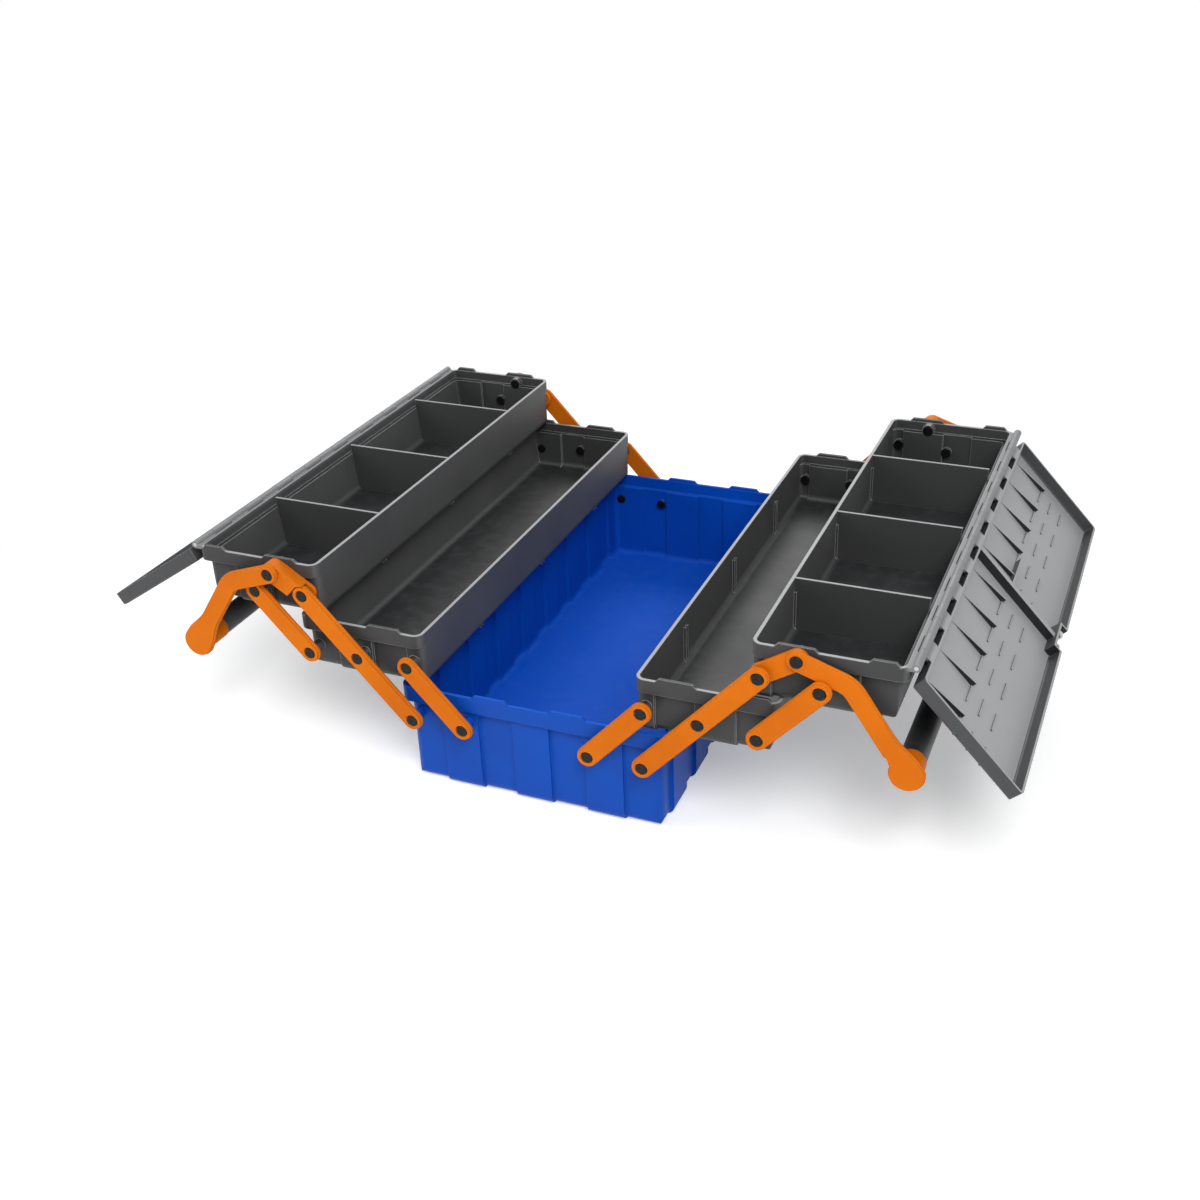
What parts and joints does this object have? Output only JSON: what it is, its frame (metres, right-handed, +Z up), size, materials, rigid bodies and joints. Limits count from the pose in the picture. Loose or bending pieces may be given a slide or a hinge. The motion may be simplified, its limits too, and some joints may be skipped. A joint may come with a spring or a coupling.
{
  "type": "cantilever tool box",
  "caption": "Cantilever tool box opened out: a deep base with trays on folding levers at both sides, a hinged lid along each upper tray and a handle on each half.",
  "frame": {"origin": "middle of the underside of the base", "axes": "+X across the box towards the right trays, +Y along the box towards its rear end, +Z up"},
  "size_m": [0.7539, 0.4704, 0.185],
  "materials": {
    "blue_plastic": "moulded, semi-gloss",
    "dark_grey_plastic": "fine moulded grain",
    "lid_plastic": "fine moulded grain",
    "orange_plastic": "moulded, semi-gloss",
    "black_rivets": "satin",
    "plated_steel": "bright plated"
  },
  "bodies": {
    "base": {"base_tub": "blue_plastic", "base_rivets": "black_rivets"},
    "left_long_levers": {"left_front_long_lever": "orange_plastic", "left_rear_long_lever": "orange_plastic"},
    "left_inner_links": {"left_front_inner_link": "orange_plastic", "left_rear_inner_link": "orange_plastic"},
    "left_lower_tray_body": {"left_lower_tray": "dark_grey_plastic", "left_lower_tray_rivets": "black_rivets"},
    "left_outer_links": {"left_front_outer_link": "orange_plastic", "left_rear_outer_link": "orange_plastic"},
    "left_upper_tray_body": {"left_upper_tray": "dark_grey_plastic", "left_upper_tray_rivets": "black_rivets", "left_front_divider": "dark_grey_plastic", "left_middle_divider": "dark_grey_plastic", "left_rear_divider": "dark_grey_plastic", "left_hinge_rod": "plated_steel", "left_front_handle_bracket": "orange_plastic", "left_rear_handle_bracket": "orange_plastic", "left_handle_rivets": "black_rivets"},
    "left_handle": {"left_front_handle_arm": "orange_plastic", "left_rear_handle_arm": "orange_plastic", "left_grip": "dark_grey_plastic"},
    "left_lid_body": {"left_lid": "lid_plastic", "left_lid_hasp": "plated_steel"},
    "right_long_levers": {"right_front_long_lever": "orange_plastic", "right_rear_long_lever": "orange_plastic"},
    "right_inner_links": {"right_front_inner_link": "orange_plastic", "right_rear_inner_link": "orange_plastic"},
    "right_lower_tray_body": {"right_lower_tray": "dark_grey_plastic", "right_lower_tray_rivets": "black_rivets"},
    "right_outer_links": {"right_front_outer_link": "orange_plastic", "right_rear_outer_link": "orange_plastic"},
    "right_upper_tray_body": {"right_upper_tray": "dark_grey_plastic", "right_upper_tray_rivets": "black_rivets", "right_front_divider": "dark_grey_plastic", "right_middle_divider": "dark_grey_plastic", "right_rear_divider": "dark_grey_plastic", "right_hinge_rod": "plated_steel", "right_front_handle_bracket": "orange_plastic", "right_rear_handle_bracket": "orange_plastic", "right_handle_rivets": "black_rivets"},
    "right_handle": {"right_front_handle_arm": "orange_plastic", "right_rear_handle_arm": "orange_plastic", "right_grip": "dark_grey_plastic"},
    "right_lid_body": {"right_lid": "lid_plastic", "right_lid_hasp": "plated_steel"}
  },
  "joints": [
    {"name": "left_lever_pivot", "type": "hinge", "parent": "base", "child": "left_long_levers", "pos_m": [-0.097, 0, 0.0635], "axis": [0, 1, 0], "range_deg": [0, 85]},
    {"name": "left_lower_tray_pivot", "type": "hinge", "parent": "left_long_levers", "child": "left_lower_tray_body", "pos_m": [-0.141, 0, 0.1115], "axis": [0, 1, 0], "range_deg": [-85, 0]},
    {"name": "left_upper_tray_pivot", "type": "hinge", "parent": "left_long_levers", "child": "left_upper_tray_body", "pos_m": [-0.185, 0, 0.1595], "axis": [0, 1, 0], "range_deg": [-85, 0]},
    {"name": "left_inner_link_pivot", "type": "hinge", "parent": "base", "child": "left_inner_links", "pos_m": [-0.053, 0, 0.0635], "axis": [0, 1, 0], "range_deg": [0, 85]},
    {"name": "left_outer_link_pivot", "type": "hinge", "parent": "left_lower_tray_body", "child": "left_outer_links", "pos_m": [-0.185, 0, 0.1085], "axis": [0, 1, 0], "range_deg": [0, 85]},
    {"name": "left_handle_pivot", "type": "hinge", "parent": "left_upper_tray_body", "child": "left_handle", "pos_m": [-0.211, 0, 0.176], "axis": [0, 1, 0], "range_deg": [0, 100]},
    {"name": "left_lid_hinge", "type": "hinge", "parent": "left_upper_tray_body", "child": "left_lid_body", "pos_m": [-0.2905, 0, 0.1818], "axis": [0, 1, 0], "range_deg": [0, 213]},
    {"name": "right_lever_pivot", "type": "hinge", "parent": "base", "child": "right_long_levers", "pos_m": [0.097, 0, 0.0635], "axis": [0, -1, 0], "range_deg": [0, 85]},
    {"name": "right_lower_tray_pivot", "type": "hinge", "parent": "right_long_levers", "child": "right_lower_tray_body", "pos_m": [0.141, 0, 0.1115], "axis": [0, -1, 0], "range_deg": [-85, 0]},
    {"name": "right_upper_tray_pivot", "type": "hinge", "parent": "right_long_levers", "child": "right_upper_tray_body", "pos_m": [0.185, 0, 0.1595], "axis": [0, -1, 0], "range_deg": [-85, 0]},
    {"name": "right_inner_link_pivot", "type": "hinge", "parent": "base", "child": "right_inner_links", "pos_m": [0.053, 0, 0.0635], "axis": [0, -1, 0], "range_deg": [0, 85]},
    {"name": "right_outer_link_pivot", "type": "hinge", "parent": "right_lower_tray_body", "child": "right_outer_links", "pos_m": [0.185, 0, 0.1085], "axis": [0, -1, 0], "range_deg": [0, 85]},
    {"name": "right_handle_pivot", "type": "hinge", "parent": "right_upper_tray_body", "child": "right_handle", "pos_m": [0.211, 0, 0.176], "axis": [0, -1, 0], "range_deg": [0, 100]},
    {"name": "right_lid_hinge", "type": "hinge", "parent": "right_upper_tray_body", "child": "right_lid_body", "pos_m": [0.2905, 0, 0.1818], "axis": [0, -1, 0], "range_deg": [0, 227]}
  ],
  "couplings": [
    {"joint": "left_lower_tray_pivot", "follows": "left_lever_pivot", "ratio": -1},
    {"joint": "left_upper_tray_pivot", "follows": "left_lever_pivot", "ratio": -1},
    {"joint": "left_inner_link_pivot", "follows": "left_lever_pivot", "ratio": 1},
    {"joint": "left_outer_link_pivot", "follows": "left_lever_pivot", "ratio": 1},
    {"joint": "left_lid_hinge", "follows": "left_handle_pivot", "ratio": 2.13},
    {"joint": "right_lower_tray_pivot", "follows": "right_lever_pivot", "ratio": -1},
    {"joint": "right_upper_tray_pivot", "follows": "right_lever_pivot", "ratio": -1},
    {"joint": "right_inner_link_pivot", "follows": "right_lever_pivot", "ratio": 1},
    {"joint": "right_outer_link_pivot", "follows": "right_lever_pivot", "ratio": 1},
    {"joint": "right_lid_hinge", "follows": "right_handle_pivot", "ratio": 2.27}
  ]
}
